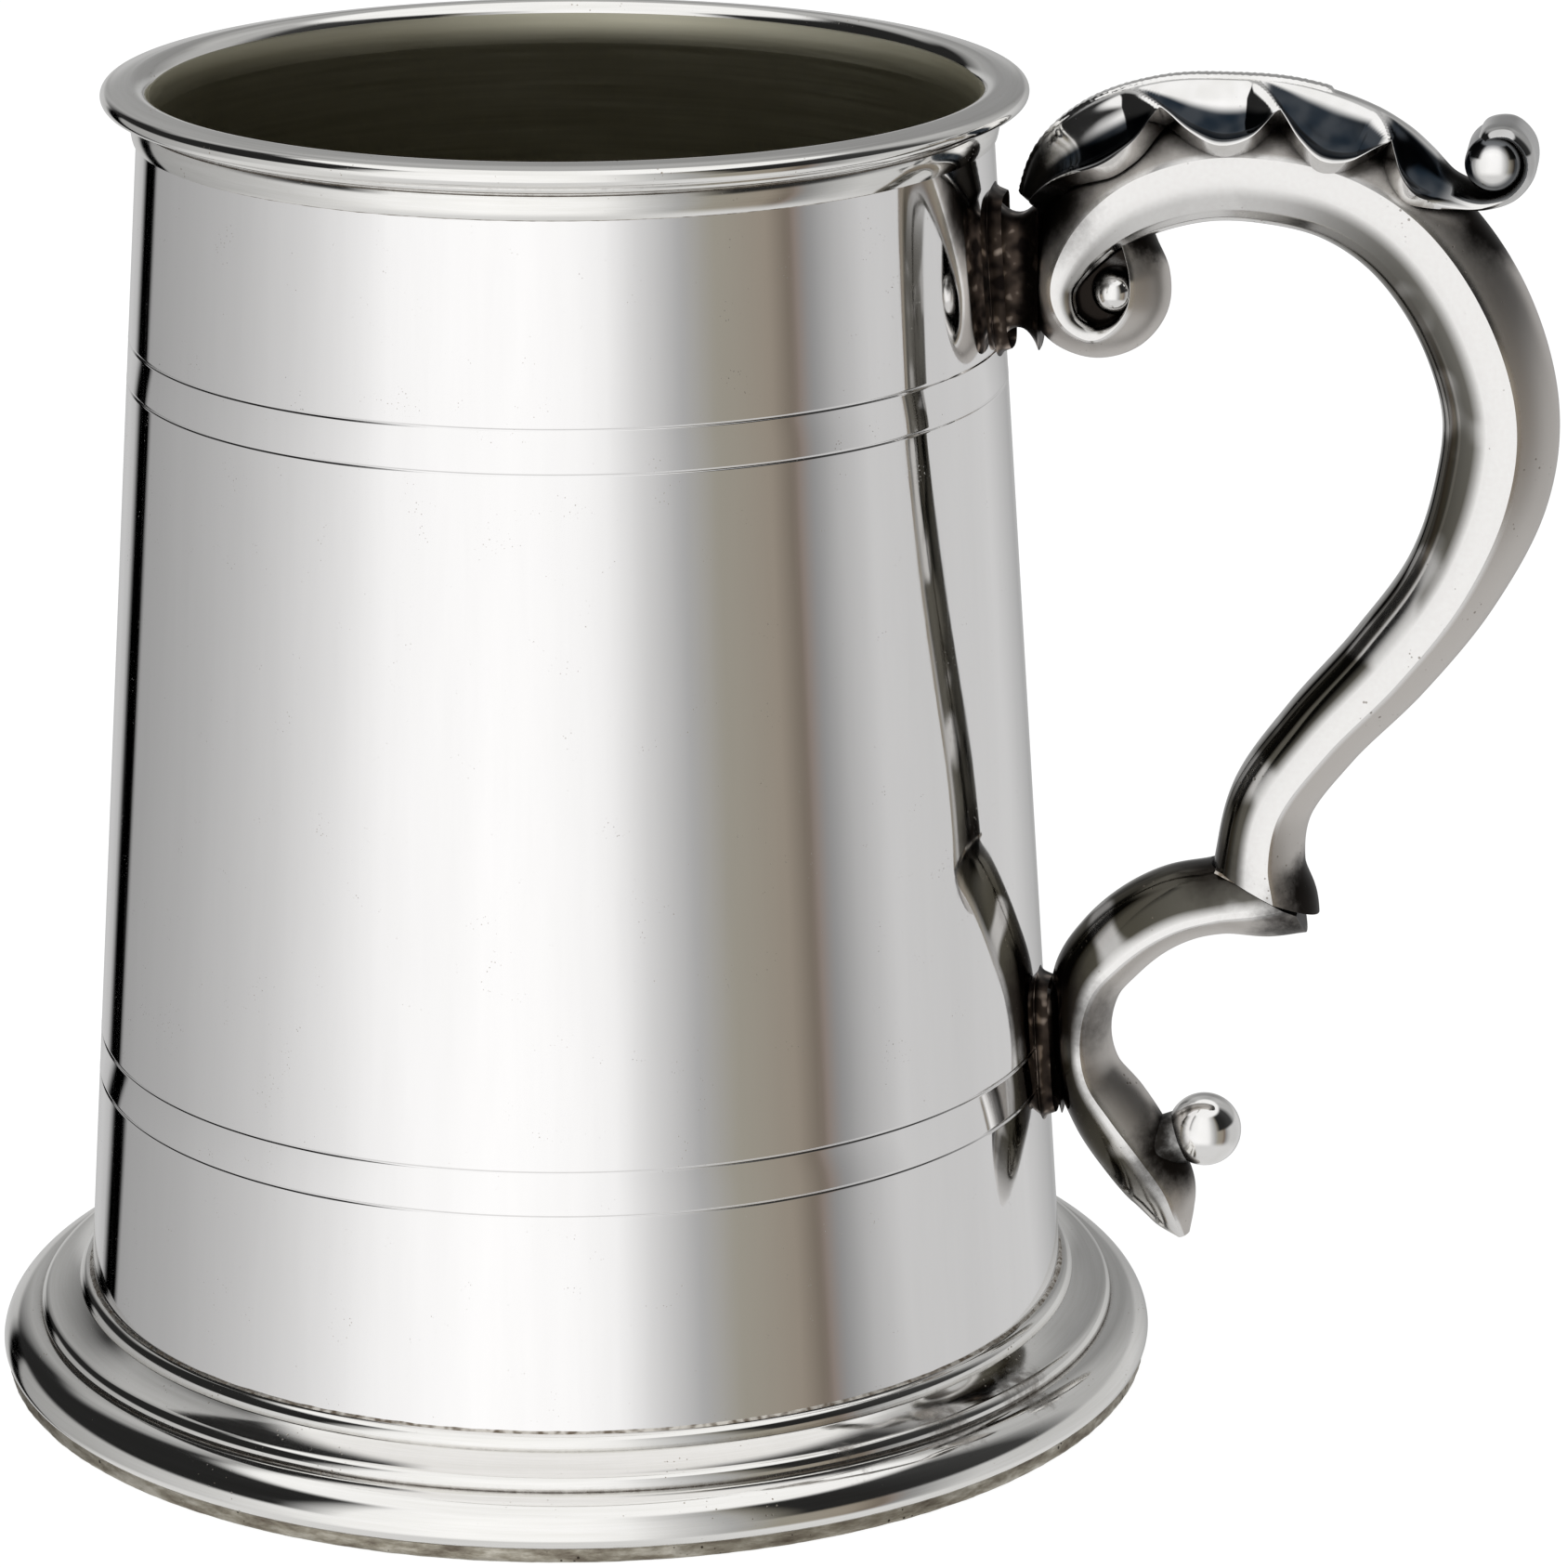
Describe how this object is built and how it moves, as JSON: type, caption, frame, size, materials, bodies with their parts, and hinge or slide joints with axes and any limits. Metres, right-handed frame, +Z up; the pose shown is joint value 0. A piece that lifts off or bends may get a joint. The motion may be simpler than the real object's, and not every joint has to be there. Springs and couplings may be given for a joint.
{
  "type": "pewter tankard",
  "caption": "Tapered pewter tankard with a moulded lip, turned lines, a stepped hollow foot and a double-scroll cast handle with a leaf thumb rest.",
  "frame": {"origin": "on the axis of the drum, in the plane that the foot stands on", "axes": "+Z up along the drum's axis, +X from the axis towards the handle, +Y completes a right-handed frame"},
  "size_m": [0.1452, 0.1092, 0.1242],
  "materials": {
    "polished_pewter": "mirror polished, with fine pits and faint polishing lines",
    "satin_pewter": "satin, brushed round the axis, with a grey-brown tone",
    "cast_pewter": "polished casting with dark patina in its recesses",
    "dark_pewter": "unpolished casting with brown-black patina",
    "rough_cast_edge": "rough as-cast edge, brownish",
    "solder": "thin tarnished solder line"
  },
  "bodies": {
    "root": {"body_drum": "polished_pewter", "base_disc": "satin_pewter", "rim_mount": "polished_pewter", "foot_ring": "polished_pewter", "foot_edge_ring": "rough_cast_edge", "upper_scroll": "cast_pewter", "lower_scroll": "cast_pewter", "tail_ball": "cast_pewter", "volute_beads": "cast_pewter", "thumb_leaf": "cast_pewter", "leaf_bead": "cast_pewter", "upper_lug": "dark_pewter", "lower_lug": "dark_pewter", "rim_solder": "solder", "foot_solder": "solder", "floor_solder": "solder", "upper_lug_solder": "solder", "lower_lug_solder": "solder", "break_solder": "solder"}
  },
  "joints": []
}
